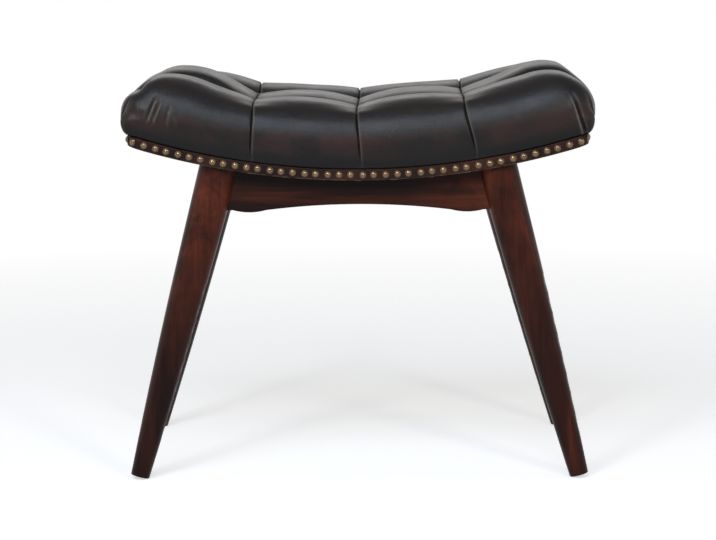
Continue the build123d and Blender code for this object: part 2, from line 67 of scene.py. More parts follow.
def readPoints(mesh, source="vertices", name="co"):
    items = getattr(mesh, source)
    flat = np.empty(len(items) * 3)
    items.foreach_get(name, flat)
    return flat.reshape(-1, 3)


def writePoints(mesh, points):
    mesh.vertices.foreach_set("co", points.reshape(-1))
    mesh.update()


def sliceAlong(bm, axis, places):
    normal = Vector((axis == 0, axis == 1, axis == 2))
    for place in places:
        geometry = bm.verts[:] + bm.edges[:] + bm.faces[:]
        bmesh.ops.bisect_plane(bm, geom=geometry, dist=1e-6, plane_co=normal * place, plane_no=normal)


def bothSides(start, step, count):
    return [side * (start + step * index) for side in (-1, 1) for index in range(count)]


def smoothStep(value, low, high):
    share = np.clip((value - low) / (high - low), 0, 1)
    return share * share * (3 - 2 * share)


def fadeIn(value, low, high, least):
    return least + (1 - least) * smoothStep(value, low, high)


def shadeSmooth(piece):
    piece.data.polygons.foreach_set("use_smooth", [True] * len(piece.data.polygons))


def useMaterial(piece, material):
    piece.data.materials.clear()
    piece.data.materials.append(material)


def setMarks(piece, **marks):
    for name, values in marks.items():
        mark = piece.data.attributes.new(name, "FLOAT", "POINT")
        mark.data.foreach_set("value", values)


def hump(away, width):
    return np.exp(-(away / width) ** 2)


def openBand(tall, middle, steps):
    # box round the board's edge with rounded corners, open above and underneath
    bm = bmesh.new()
    bmesh.ops.create_cube(bm, size=1.0)
    bmesh.ops.scale(bm, vec=(2 * seat["halfLength"], 2 * seat["halfDepth"], tall), verts=bm.verts)
    bmesh.ops.translate(bm, vec=(0, 0, middle), verts=bm.verts)
    upright = [edge for edge in bm.edges if abs(edge.verts[0].co.z - edge.verts[1].co.z) > 0.001]
    bmesh.ops.bevel(bm, geom=upright, offset=seat["corner"], segments=steps, profile=0.5, affect="EDGES",
                    material=-1)
    caps = [face for face in bm.faces if abs(face.normal.z) > 0.5]
    bmesh.ops.delete(bm, geom=caps, context="FACES_ONLY")
    return bm


# small helpers for material nodes
noiseRange = (0.3, 0.7)  # holds nearly all the values of a noise
mixSockets = {"first": 6, "second": 7, "result": 2}  # of the colours in a mix node


def newMaterial(name):
    material = bpy.data.materials.new(name)
    material.use_nodes = True
    tree = material.node_tree
    return material, tree, tree.nodes["Principled BSDF"]


def addNode(tree, kind, **settings):
    node = tree.nodes.new(kind)
    for key, value in settings.items():
        if key[0].isupper():
            node.inputs[key].default_value = value
        else:
            setattr(node, key, value)
    return node


def joinNodes(tree, *pairs):
    for source, target in zip(pairs[::2], pairs[1::2]):
        tree.links.new(source, target)


def objectPattern(tree, scale=(1, 1, 1), turn=(0, 0, 0), move=(0, 0, 0)):
    place = addNode(tree, "ShaderNodeTexCoord")
    mapping = addNode(tree, "ShaderNodeMapping", Scale=scale, Rotation=turn, Location=move)
    joinNodes(tree, place.outputs["Object"], mapping.inputs["Vector"])
    return mapping.outputs["Vector"]


def noiseOn(tree, vector, scale, detail=3.0, rough=0.5, twist=0.0):
    noise = addNode(tree, "ShaderNodeTexNoise", Scale=scale, Detail=detail, Roughness=rough, Distortion=twist)
    joinNodes(tree, vector, noise.inputs["Vector"])
    return noise.outputs["Fac"]


def ramp(tree, value, stops, smooth="LINEAR"):
    node = addNode(tree, "ShaderNodeValToRGB")
    node.color_ramp.interpolation = smooth
    band = node.color_ramp.elements
    while len(band) < len(stops):
        band.new(0.5)
    for element, (place, colour) in zip(band, stops):
        element.position = place
        element.color = (*colour, 1)
    joinNodes(tree, value, node.inputs["Fac"])
    return node.outputs["Color"]


def mixColours(tree, factor, first, second):
    node = addNode(tree, "ShaderNodeMix", data_type="RGBA")
    for key, value in (("Factor", factor), (mixSockets["first"], first), (mixSockets["second"], second)):
        socket = node.inputs[key]
        if isinstance(value, (int, float)):
            socket.default_value = value
        elif isinstance(value, tuple):
            socket.default_value = (*value, 1)
        else:
            tree.links.new(value, socket)
    return node.outputs[mixSockets["result"]]


def span(tree, value, low, high, toLow=0.0, toHigh=1.0):
    limits = {"From Min": low, "From Max": high, "To Min": toLow, "To Max": toHigh}
    node = addNode(tree, "ShaderNodeMapRange", **limits)
    joinNodes(tree, value, node.inputs["Value"])
    return node.outputs["Result"]


def bumpOn(tree, height, strength, distance, below=None):
    bump = addNode(tree, "ShaderNodeBump", Strength=strength, Distance=distance)
    joinNodes(tree, height, bump.inputs["Height"])
    if below is not None:
        joinNodes(tree, below, bump.inputs["Normal"])
    return bump.outputs["Normal"]


def combine(tree, operation, first, second):
    node = addNode(tree, "ShaderNodeMath", operation=operation)
    joinNodes(tree, first, node.inputs[0], second, node.inputs[1])
    return node.outputs[0]


def markOn(tree, name):
    return addNode(tree, "ShaderNodeAttribute", attribute_name=name).outputs["Fac"]


leather = {
    "deep": (0.0040, 0.0038, 0.0042),
    "warm": (0.0100, 0.0068, 0.0058),
    "burnish": (0.046, 0.0185, 0.0150),  # rubbed reddish patches low on the front
    "worn": (0.021, 0.0160, 0.0135),  # taupe on the crests, partly rubbed wear and partly painted highlight
    "fold": (0.0012, 0.0011, 0.0014),  # painted shade in the folds and seam valleys; the same colour makes the foot darker
    "lip": (0.110, 0.092, 0.078),  # painted highlight on the raised lips beside the sewn columns and corner folds, and along the crest ridges
    "rough": (0.30, 0.42),
    "gloss": 0.20,
    "wax": 0.04,
}
# the surface of all leather, each noise as scale, detail, roughness, twist, each bump as strength, height
hide = {
    "cloud": (7.0, 4.0, 0.55, 0.6),
    "cloudRange": (0.35, 0.7),
    "patch": (12.0, 6.0, 0.62, 0.25),
    "patchStretch": (0.7, 0.6, 1.1),
    "patchMove": (3.1, 0, 0.4),
    "patchRange": (0.42, 0.72),
    "patchShare": 0.85,
    "wear": (34.0, 5.0, 0.6),
    "foldDull": 0.3,
    "waxRough": 0.22,
    "pebbleScale": 760.0,
    "pebbleSoft": 0.35,
    "pebbleBump": (0.16, 0.0006),
    "wave": (60.0, 6.0, 0.62, 1.4),
    "waveStretch": (1.0, 1.0, 0.45),
    "waveBump": (0.22, 0.0022),
    "pull": (120.0, 4.0, 0.6, 2.0),  # small puckers beside the seams
    "pullBump": (0.35, 0.003),
}


def makeLeather(name, look, burnished=1.0, creases=True):
    material, tree, shader = newMaterial(name)
    flat = objectPattern(tree)
    cloud = noiseOn(tree, flat, *hide["cloud"])
    patch = noiseOn(tree, objectPattern(tree, hide["patchStretch"], move=hide["patchMove"]), *hide["patch"])
    tone = mixColours(tree, span(tree, cloud, *hide["cloudRange"]), look["deep"], look["warm"])
    rubbed = span(tree, patch, *hide["patchRange"], 0, hide["patchShare"] * burnished)
    wear = noiseOn(tree, flat, *hide["wear"])
    rough = span(tree, wear, *noiseRange, *look["rough"])
    if creases:
        rubbed = combine(tree, "MULTIPLY", rubbed, markOn(tree, "lowShare"))
    tone = mixColours(tree, rubbed, tone, look["burnish"])
    if creases:
        foldMark = markOn(tree, "foldShare")
        # crests lighter, partly wear and partly painted highlight
        tone = mixColours(tree, markOn(tree, "crestShare"), tone, look["worn"])
        # painted shade in the folds and seam valleys, and darker towards the foot
        tone = mixColours(tree, foldMark, tone, look["fold"])
        # painted highlight on the lips and along the crest ridges
        tone = mixColours(tree, markOn(tree, "lipShare"), tone, look["lip"])
        rough = combine(tree, "ADD", rough, span(tree, foldMark, 0, 1, 0, hide["foldDull"]))
    joinNodes(tree, tone, shader.inputs["Base Color"], rough, shader.inputs["Roughness"])
    shader.inputs["Specular IOR Level"].default_value = look["gloss"]
    shader.inputs["Coat Weight"].default_value = look["wax"]
    shader.inputs["Coat Roughness"].default_value = hide["waxRough"]
    pebble = addNode(tree, "ShaderNodeTexVoronoi", feature="SMOOTH_F1", Scale=hide["pebbleScale"],
                     Smoothness=hide["pebbleSoft"], Randomness=1.0)
    joinNodes(tree, flat, pebble.inputs["Vector"])
    fine = bumpOn(tree, pebble.outputs["Distance"], *hide["pebbleBump"])
    wave = noiseOn(tree, objectPattern(tree, hide["waveStretch"]), *hide["wave"])
    soft = bumpOn(tree, wave, *hide["waveBump"], fine)
    if creases:
        pulled = combine(tree, "MULTIPLY", markOn(tree, "seamNear"), noiseOn(tree, flat, *hide["pull"]))
        soft = bumpOn(tree, pulled, *hide["pullBump"], soft)
    joinNodes(tree, soft, shader.inputs["Normal"])
    return material


# stained wood with the grain along the piece
mahogany = {
    "dark": (0.0085, 0.0032, 0.0028),
    "middle": (0.030, 0.0082, 0.0056),
    "streak": (0.150, 0.032, 0.015),
}
woodGrain = {
    "stretch": 0.06,  # of every pattern along the grain
    "warp": (30.0, 5.0, 0.55, 0.7),
    "warpStops": (0.30, 0.52, 0.80),
    "pores": (150.0, 7.0, 0.7, 0.4),
    "poreRange": (0.36, 0.60),
    "poreShare": 0.45,
    "mottle": (26.0, 5.0, 0.62, 0.5),
    "mottleRange": (0.32, 0.62),
    "dull": (18.0, 3.0),
    "polished": ((0.28, 0.40), 0.10),  # range of roughness and strength of the bump
    "raw": ((0.55, 0.7), 0.3),
    "bumpHeight": 0.0008,
    "gloss": 0.08,  # of the polished pieces
    "lacquer": 0.02,
    "lacquerRough": 0.12,
}


def makeWood(name, look, along, lean=(0, 0, 0), gloss=True, fineness=1.0, rubbed=None):
    material, tree, shader = newMaterial(name)
    stretch = [1.0, 1.0, 1.0]
    stretch["xyz".index(along)] = woodGrain["stretch"]
    lie = objectPattern(tree, tuple(stretch), lean)
    warp, rings = (noiseOn(tree, lie, scale * fineness, *rest)
                   for scale, *rest in (woodGrain["warp"], woodGrain["pores"]))
    stops = zip(woodGrain["warpStops"], (look["dark"], look["middle"], look["streak"]))
    tone = ramp(tree, warp, tuple(stops), "EASE")
    if rubbed:
        # stain rubbed thinner over part of the piece: axis, where it starts, where it is full
        axis, low, high, strength = rubbed
        parts = addNode(tree, "ShaderNodeSeparateXYZ")
        joinNodes(tree, objectPattern(tree), parts.inputs[0])
        zone = span(tree, parts.outputs[axis], low, high, 0, strength)
        mottle = span(tree, noiseOn(tree, objectPattern(tree), *woodGrain["mottle"]), *woodGrain["mottleRange"])
        tone = mixColours(tree, combine(tree, "MULTIPLY", zone, mottle), tone, look["streak"])
    pores = span(tree, rings, *woodGrain["poreRange"])
    tone = mixColours(tree, pores, mixColours(tree, woodGrain["poreShare"], tone, look["dark"]), tone)
    joinNodes(tree, tone, shader.inputs["Base Color"])
    dull = noiseOn(tree, objectPattern(tree), *woodGrain["dull"])
    rough, bump = woodGrain["polished" if gloss else "raw"]
    joinNodes(tree, span(tree, dull, *noiseRange, *rough), shader.inputs["Roughness"])
    if gloss:
        shader.inputs["Specular IOR Level"].default_value = woodGrain["gloss"]
        shader.inputs["Coat Weight"].default_value = woodGrain["lacquer"]
        shader.inputs["Coat Roughness"].default_value = woodGrain["lacquerRough"]
    joinNodes(tree, bumpOn(tree, rings, bump, woodGrain["bumpHeight"]), shader.inputs["Normal"])
    return material


brassLook = {
    "stain": (420.0, 4.0, 0.6),
    "pits": (700.0, 2.0),
    "pitBump": (0.2, 0.0004),
    "bright": ((0.30, (0.10, 0.057, 0.020)), (0.55, (0.190, 0.118, 0.040)), (0.80, (0.33, 0.225, 0.085))),
    "tarnish": (0.10, 0.058, 0.028),  # the older nails go halfway to this
    "rim": ((0.55, (0.15, 0.075, 0.032)), (0.95, (0.045, 0.020, 0.011))),
    "rimRange": (0.36, 0.78),  # share of the radius where the dark rim sets in
    "rough": (0.20, 0.50),  # on the dome and in the rim
    "metal": (1.0, 0.75),
    "edgeTint": (0.42, 0.26, 0.13, 1),
    "lacquer": 0.8,
    "lacquerRough": 0.10,
}


def makeBrass(name):
    material, tree, shader = newMaterial(name)
    place = objectPattern(tree)
    bright = ramp(tree, noiseOn(tree, place, *brassLook["stain"]), brassLook["bright"])
    bright = mixColours(tree, span(tree, markOn(tree, "nailTone"), 0, 1, 0, 0.5), bright, brassLook["tarnish"])
    rim = markOn(tree, "rimShare")
    dirt = span(tree, rim, *brassLook["rimRange"])
    tone = mixColours(tree, dirt, bright, ramp(tree, rim, brassLook["rim"]))
    shader.inputs["Specular Tint"].default_value = brassLook["edgeTint"]
    shader.inputs["Coat Weight"].default_value = brassLook["lacquer"]
    shader.inputs["Coat Roughness"].default_value = brassLook["lacquerRough"]
    joinNodes(tree, tone, shader.inputs["Base Color"])
    joinNodes(tree, span(tree, dirt, 0, 1, *brassLook["rough"]), shader.inputs["Roughness"])
    joinNodes(tree, span(tree, dirt, 0, 1, *brassLook["metal"]), shader.inputs["Metallic"])
    pits = noiseOn(tree, place, *brassLook["pits"])
    joinNodes(tree, bumpOn(tree, pits, *brassLook["pitBump"]), shader.inputs["Normal"])
    return material


steelLook = {
    "stain": (320.0, 3.0, 0.6),
    "dull": (0.42, 0.40, 0.34),
    "clean": (0.66, 0.64, 0.58),
    "rough": (0.42, 0.28),
}


def makeSteel(name):
    material, tree, shader = newMaterial(name)
    stain = noiseOn(tree, objectPattern(tree), *steelLook["stain"])
    tone = ramp(tree, stain, tuple(zip(noiseRange, (steelLook["dull"], steelLook["clean"]))))
    joinNodes(tree, tone, shader.inputs["Base Color"])
    joinNodes(tree, span(tree, stain, *noiseRange, *steelLook["rough"]), shader.inputs["Roughness"])
    shader.inputs["Metallic"].default_value = 1.0
    return material


weave = {"scale": 70.0, "twist": 0.6, "rough": 0.9, "gloss": 0.2, "bump": (0.4, 0.0005)}


def makeCloth(name, dark, light):
    material, tree, shader = newMaterial(name)
    place = objectPattern(tree)
    threads = []
    for direction in ("X", "Y"):
        wave = addNode(tree, "ShaderNodeTexWave", bands_direction=direction, Scale=weave["scale"],
                       Distortion=weave["twist"], Detail=1.0)
        joinNodes(tree, place, wave.inputs["Vector"])
        threads.append(wave.outputs["Fac"])
    cross = combine(tree, "MULTIPLY", *threads)
    joinNodes(tree, mixColours(tree, cross, dark, light), shader.inputs["Base Color"])
    shader.inputs["Roughness"].default_value = weave["rough"]
    shader.inputs["Specular IOR Level"].default_value = weave["gloss"]
    joinNodes(tree, bumpOn(tree, cross, *weave["bump"]), shader.inputs["Normal"])
    return material


cushion = {
    "halfLength": 0.3105,
    "halfDepth": 0.1895,
    "height": 0.0835,  # above the board, before the crests are set
    "endRoll": 0.0945,  # how far in from the end its top begins to fall
    "sideRoll": 0.050,
    "topRoll": 0.060,
    "cornerPower": 4.0,  # how square the corners are in plan
    "footPower": 9.0,  # and how much squarer at the foot
    "footRound": 0.030,  # up to this height
    "outerReach": 0.3022,  # of the ends of the front and back rows
    "middleReach": 0.3118,  # and of the middle row
    "outerFull": (0.029, 0.044),  # height of their fullest places, left and right
    "middleFull": 0.012,
    "footReach": 0.2927,
    "sideFull": 0.040,
    "sideTuck": 0.0068,  # how far the foot of the front lies inside
    "columns": (-0.1345, 0.0, 0.1370),
    "rows": (-0.0645, 0.0645),
    "rowBlend": (0.0545, 0.0745),  # where the crest of one row passes into the next
    "crestSmooth": 0.006,
    "endSmooth": 4,  # degrees
    "leanEnds": 0.30,  # no seam leans beyond these places
    "leanHeight": 0.078,
    "leanDepth": 0.15,
    "step": 0.0060,
    "seamMargin": 0.0075,  # cut finer than a step, at the places below
    "seamSlices": (-0.0048, -0.0026, -0.0014, -0.0006, 0, 0.0006, 0.0013, 0.0020, 0.0029, 0.0048),
    "endSlices": (0.2410, 0.0016, 42),  # start, step and number of the fine slices
    "sideSlices": (0.1690, 0.0012, 14),
    "levels": (0.02, 0.05, 0.085, 0.12, 0.155, 0.19, 0.225, 0.26, 0.33, 0.40, 0.47, 0.54, 0.61, 0.68, 0.75,
               0.82, 0.88, 0.94),
    "seamDepth": 0.0098,  # of the hollow along a seam on the top
    "seamWidth": 0.0675,
    "seamBehind": 0.4,  # how much shallower it gets towards the back
    "seamPucker": (0.0015, 0.0022),  # how far the puckers and the painted shade beside a seam reach on the sides, and how much further on top
    "faceDepth": 0.0016,  # of all hollows on the front, back and ends
    "fullDepth": (0.045, 0.080),  # heights between which the hollows reach their depth
    "flatEnds": (0.250, 0.305),  # and where they run out towards the ends and the sides
    "flatSides": (0.150, 0.184),
    "crossDepth": 0.0040,  # of the dent where two seams cross
    "crossWidth": 0.013,
    "rowDepth": 0.0120,
    "rowWidth": 0.030,
    "creaseDepth": 0.0034,
    "creaseWidth": 0.0009,
    "creaseFoot": 0.15,  # share of it that is left at the foot of the cushion
    "rowFoot": 0.25,
    "creaseRise": 0.03,
    "lip": 0.0007,  # raised edge of the sewn fold, on one side of the seam
    "lipPlace": 0.0021,
    "lipWidth": 0.0008,
    "lipTone": 0.55,
    "valley": 0.0120,  # how far the painted shade of a row's seam reaches
    "valleyMore": 0.0030,  # and how much further on the wings, and along the back row
    "wing": (0.150, 0.185),
    "ridgePlace": 0.1415,  # painted highlight line along the front and back crests
    "ridgeWidth": 0.0024,
    "ridgeTone": 0.4,
    "overhang": 0.0022,  # of the foot, below the board's upper edge
}
# where the leather is darker, rubbed or lighter, by height over the board: darker towards the foot, painted
# shade along the seams and valleys, rubbed patches low on the front, crests lighter, partly wear and partly
# painted highlight
cushionTones = {
    "foot": 0.75,
    "footFade": 0.014,
    "crest": (0.070, 0.0835),
    "crestLeast": 0.30,
    "crestWidth": 0.055,
    "fold": 0.92,
    "lowFrom": (0.006, 0.018),
    "lowTo": (0.034, 0.050),
}
# height of each row above the board, from end to end, between the hollows of the seams
crests = (
    ((-0.216, 0.0875), (-0.202, 0.0862), (-0.188, 0.0835), (-0.174, 0.0818), (-0.139, 0.0816), (-0.072, 0.0815),
     (-0.002, 0.0822), (0.037, 0.0841), (0.061, 0.0845), (0.109, 0.0856), (0.137, 0.0868), (0.163, 0.0862),
     (0.191, 0.0862), (0.205, 0.0871), (0.226, 0.0887)),
    ((-0.216, 0.0925), (-0.201, 0.0930), (-0.187, 0.0908), (-0.173, 0.0879), (-0.158, 0.0838), (-0.146, 0.0812),
     (-0.136, 0.0795), (-0.111, 0.0803), (-0.074, 0.0815), (-0.037, 0.0824), (0.0, 0.0817), (0.021, 0.0836),
     (0.051, 0.0848), (0.113, 0.0855), (0.139, 0.0848), (0.176, 0.0848), (0.198, 0.0884), (0.219, 0.0934)),
    ((-0.216, 0.0808), (-0.200, 0.0826), (-0.184, 0.0847), (-0.162, 0.0850), (-0.133, 0.0836), (-0.114, 0.0826),
     (-0.063, 0.0817), (-0.025, 0.0838), (0.0, 0.0844), (0.026, 0.0840), (0.065, 0.0834), (0.103, 0.0837),
     (0.137, 0.0860), (0.158, 0.0858), (0.188, 0.0860), (0.205, 0.0860), (0.217, 0.0855)),
)
# roundness of the ends by the angle above the fullest place, 1 on an ellipse: outer rows, then the middle row,
# each left and right
endShapes = (
    (((0, 1.0), (10, 0.998), (20, 0.975), (27, 0.915), (33, 0.858), (40, 0.872), (52, 0.945), (66, 1.0),
      (75, 1.0), (90, 1.0)),
     ((0, 1.0), (18, 1.0), (32, 0.988), (45, 0.990), (60, 1.025), (75, 1.020), (90, 1.0))),
    (((0, 1.0), (8, 0.950), (18, 0.858), (30, 0.838), (45, 0.845), (55, 0.860), (65, 0.912), (75, 0.960),
      (90, 1.0)),
     ((0, 1.0), (18, 0.955), (32, 0.915), (45, 0.935), (60, 1.004), (75, 1.022), (90, 1.0))),
)
# sideways lean of the three sewn columns at the foot of the front, its crest and the back
columnLeans = ((-0.0023, 0.0025, 0.0115), (0.0007, -0.0022, -0.0023), (0.0029, 0.0028, 0.0021))
# folds pulled in at the corners: side of the bench, start and end as x and height, depth, width
cornerFolds = (
    (-1, (0.2715, 0.0545), (0.2885, -0.004), 0.0042, 0.0017),
    (-1, (-0.2560, 0.0580), (-0.2680, 0.0240), 0.0026, 0.0015),
    (-1, (-0.2490, 0.0560), (-0.2615, 0.0240), 0.0017, 0.0014),
    (-1, (-0.2370, 0.0500), (-0.2450, 0.0260), 0.0007, 0.0018),
    (-1, (-0.2285, 0.0490), (-0.2350, 0.0290), 0.0005, 0.0018),
    (1, (-0.2700, 0.0540), (-0.2860, -0.004), 0.0040, 0.0017),
    (1, (0.2580, 0.0580), (0.2690, 0.0230), 0.0022, 0.0015),
    (1, (0.2490, 0.0540), (0.2610, 0.0220), 0.0015, 0.0015),
)
foldForm = {
    "start": (-0.08, 0.35),  # shares of its length in which a fold begins and ends
    "end": (0.85, 1.1),
    "depth": (0.11, 0.15),  # distance from the middle of the bench where it fades in
    "near": (1.7, 0.85),  # raised lips on both sides, place and width in widths of the fold
    "far": (2.0, 1.1),
    "farShare": 0.2,
    "rise": 0.6,
    "fullTone": 0.0022,  # depth from which a fold shows its painted highlight and painted shade in full
}
# pleat down each of the four corners
cornerPleats = {
    "place": 0.1742,  # from the middle of the depth
    "ends": (0.284, 0.292),
    "top": 0.052,
    "fade": 0.55,
    "depth": 0.0034,
    "width": 0.0016,
    "lip": 2.2,  # place of its lip, in widths
    "lipWidth": 1.2,
    "lipRise": 0.4,
    # width and strength of the painted highlight on the pleat's lip
    "toneWidth": 0.8,
    "tone": 0.5,
}


def sliceStops(half, seams):
    margin, step = cushion["seamMargin"], cushion["step"]
    edges = [-half, *seams, half]
    stops = []
    for low, high in zip(edges[:-1], edges[1:]):
        start = low + (margin if low != -half else 0)
        end = high - (margin if high != half else 0)
        count = max(1, round((end - start) / step))
        first = 0 if low != -half else 1
        stops += [start + (end - start) * index / count for index in range(first, count)]
        stops.append(end)
    stops.pop()
    return stops + [seam + side for seam in seams for side in cushion["seamSlices"]]


def smoothTable(table, width, values):
    # values read from a table whose corners are rounded over the given width
    places, heights = zip(*table)
    fine = np.linspace(places[0], places[-1], 400)
    offsets = np.linspace(-2, 2, 17)
    weights = np.exp(-offsets ** 2)
    smooth = sum(weight * np.interp(fine + offset * width, places, heights)
                 for offset, weight in zip(offsets, weights))
    return np.interp(values, fine, smooth / weights.sum())


def rowWeights(b):
    near, far = cushion["rowBlend"]
    first = 1 - smoothStep(b, -far, -near)
    last = smoothStep(b, near, far)
    return first, 1 - first - last, last


def shapeCushion(flat):
    s = cushion
    a, b, c = flat[:, 0], flat[:, 1], flat[:, 2]
    reach = np.array([s["halfLength"], s["halfDepth"], s["height"]])
    roll = np.array([s["endRoll"], s["sideRoll"], s["topRoll"]])
    core = reach - roll
    over = np.stack([np.maximum(np.abs(a) - core[0], 0) / roll[0], np.maximum(np.abs(b) - core[1], 0) / roll[1],
                     np.maximum(c - core[2], 0) / roll[2]], axis=1)
    power = s["cornerPower"] + s["footPower"] * (1 - smoothStep(c, 0, s["footRound"]))
    plan = (over[:, 0] ** power + over[:, 1] ** power) ** (1 / power)
    length = np.sqrt(plan ** 2 + over[:, 2] ** 2)
    scale = np.where(length > 1e-9, over.max(axis=1) / np.maximum(length, 1e-9), 1)
    out, side, up = (over * scale[:, None]).T
    weights = rowWeights(b)
    middle = weights[1]
    crown = sum(weight * smoothTable(crest, s["crestSmooth"], a) for weight, crest in zip(weights, crests))
    ends = middle * s["middleReach"] + (1 - middle) * s["outerReach"]
    angle = np.degrees(np.arctan2(up, np.maximum(out, 1e-6)))
    bulge = np.zeros(len(flat))
    for share, shapes in ((1 - middle, endShapes[0]), (middle, endShapes[1])):
        leftEnd, rightEnd = (smoothTable(shape, s["endSmooth"], angle) for shape in shapes)
        bulge += share * np.where(a < 0, leftEnd, rightEnd)
    bulge = 1 + (bulge - 1) * np.clip(out / np.maximum(np.hypot(out, side), 1e-6), 0, 1) ** 2 * (out > 0)
    x = np.sign(a) * (np.minimum(np.abs(a), core[0]) + out * bulge * (ends - core[0]))
    y = np.sign(b) * (np.minimum(np.abs(b), core[1]) + side * roll[1])
    h = np.minimum(c, core[2]) + up * bulge * (crown - core[2])
    # the foot of the ends curls in over the nailed strip
    full = middle * s["middleFull"] + (1 - middle) * np.where(a < 0, *s["outerFull"])
    curl = 1 - np.sqrt(np.clip(1 - np.clip(1 - h / full, 0, 1) ** 2, 0, 1))
    atEnd = np.clip(out / 0.97, 0, 1) ** 6
    x = x - np.sign(a) * np.maximum(np.abs(x) - s["footReach"], 0) * curl * atEnd
    foot = np.clip(1 - h / s["sideFull"], 0, 1) ** 2
    y = y - np.sign(b) * s["sideTuck"] * foot * np.clip(np.abs(y) / s["halfDepth"], 0, 1) ** 8
    # lean of the columns
    places = (-s["leanEnds"], *s["columns"], s["leanEnds"])
    atFoot, atCrest, atBack = (np.interp(a, places, (0, *lean, 0)) for lean in columnLeans)
    rise = smoothStep(h, 0, s["leanHeight"])
    back = np.clip((b + s["leanDepth"]) / (2 * s["leanDepth"]), 0, 1)
    front = atFoot * (1 - rise) + atCrest * rise
    x = x + front * (1 - back) + atBack * back
    return np.stack([x, y, h], axis=1)


def pillowShape(flat):
    # depth of the hollows and of the creases, the painted shade beside them and the painted highlight on the
    # lips and crest ridges
    s = cushion
    a, b, c = flat[:, 0], flat[:, 1], flat[:, 2]
    inside = (1 - smoothStep(np.abs(a), *s["flatEnds"])) * (1 - smoothStep(np.abs(b), *s["flatSides"]))
    fade = smoothStep(c, *s["fullDepth"]) * inside
    hollow = np.zeros(len(flat))
    crease = np.zeros(len(flat))
    near = np.zeros(len(flat))
    edge = np.zeros(len(flat))
    for seam in s["columns"]:
        away = np.abs(a - seam)
        broad = (1 - np.clip(away / s["seamWidth"], 0, 1)) ** 2
        depth = s["seamDepth"] * (1 - s["seamBehind"] * smoothStep(b, 0.06, 0.12))
        depth = s["faceDepth"] + (depth - s["faceDepth"]) * fade
        hollow = np.maximum(hollow, depth * broad)
        line = hump(away, s["creaseWidth"]) * fadeIn(c, 0, s["creaseRise"], s["creaseFoot"])
        lip = hump(a - seam - s["lipPlace"], s["lipWidth"])
        crease = np.maximum(crease, line) - s["lip"] / s["creaseDepth"] * lip
        edge = np.maximum(edge, lip)
        near = np.maximum(near, np.exp(-(away / (s["seamPucker"][0] + s["seamPucker"][1] * fade))))
    for seam in s["rows"]:
        away = np.abs(b - seam)
        share = 1 - np.clip(away / s["rowWidth"], 0, 1)
        rounded = 1 - np.sqrt(np.clip(1 - share ** 2, 0, 1))
        depth = s["faceDepth"] * 2.5 + (s["rowDepth"] - s["faceDepth"] * 2.5) * fade
        hollow = hollow + depth * rounded
        line = hump(away, s["creaseWidth"]) * fadeIn(c, 0, s["creaseRise"], s["rowFoot"])
        crease = np.maximum(crease, line)
        inWing = smoothStep(np.abs(a), *s["wing"])
        reach = s["valley"] + (s["valleyMore"] * inWing if seam < 0 else s["valleyMore"])
        near = np.maximum(near, hump(away, reach) * fadeIn(np.abs(a), *s["wing"], 0.8))
    top = smoothStep(c, 0.06, 0.08)
    for column in s["columns"]:
        for row in s["rows"]:
            away = np.hypot(a - column, b - row)
            hollow = hollow + s["crossDepth"] * hump(away, s["crossWidth"]) * top
    ridge = hump(np.abs(b) - s["ridgePlace"], s["ridgeWidth"]) * smoothStep(c, 0.078, 0.083)
    # painted highlight on the seam lips and along the crest ridges
    edge = s["lipTone"] * edge * fadeIn(c, 0, 0.02, 0.25) + s["ridgeTone"] * ridge * (1 - near)
    return hollow, crease, near, edge


def foldShape(points):
    # how far the corner folds pull each point in, and where their lips and grooves lie: painted highlight on
    # the lips, painted shade in the grooves
    pull = np.zeros(len(points))
    bright = np.zeros(len(points))
    dark = np.zeros(len(points))
    form, pleat = foldForm, cornerPleats
    for side, start, end, depth, width in cornerFolds:
        line = np.array(end) - np.array(start)
        long = np.hypot(*line)
        rel = points[:, [0, 2]] - np.array(start)
        along = rel @ line / long ** 2
        away = (rel[:, 0] * line[1] - rel[:, 1] * line[0]) / long * np.sign(start[0]) * -1
        body = smoothStep(along, *form["start"]) * (1 - smoothStep(along, *form["end"]))
        onSide = smoothStep(side * points[:, 1], *form["depth"])
        nearLip, farLip = (np.array(form[lip]) * width for lip in ("near", "far"))
        lips = hump(away + nearLip[0], nearLip[1]) + form["farShare"] * hump(away - farLip[0], farLip[1])
        groove = hump(away, width)
        tone = min(1, depth / form["fullTone"])
        pull += depth * body * onSide * (groove - form["rise"] * lips)
        bright = np.maximum(bright, body * onSide * lips * tone)
        dark = np.maximum(dark, body * onSide * groove * tone)
    away = (np.abs(points[:, 1]) - pleat["place"]) / pleat["width"]
    below = 1 - smoothStep(points[:, 2], pleat["fade"] * pleat["top"], pleat["top"])
    body = smoothStep(np.abs(points[:, 0]), *pleat["ends"]) * below
    line = hump(away, 1)
    pull += pleat["depth"] * body * (line - pleat["lipRise"] * hump(away - pleat["lip"], pleat["lipWidth"]))
    dark = np.maximum(dark, body * line)
    bright = np.maximum(bright, pleat["tone"] * body * hump(away - pleat["lip"], pleat["toneWidth"]))
    return pull, bright, dark


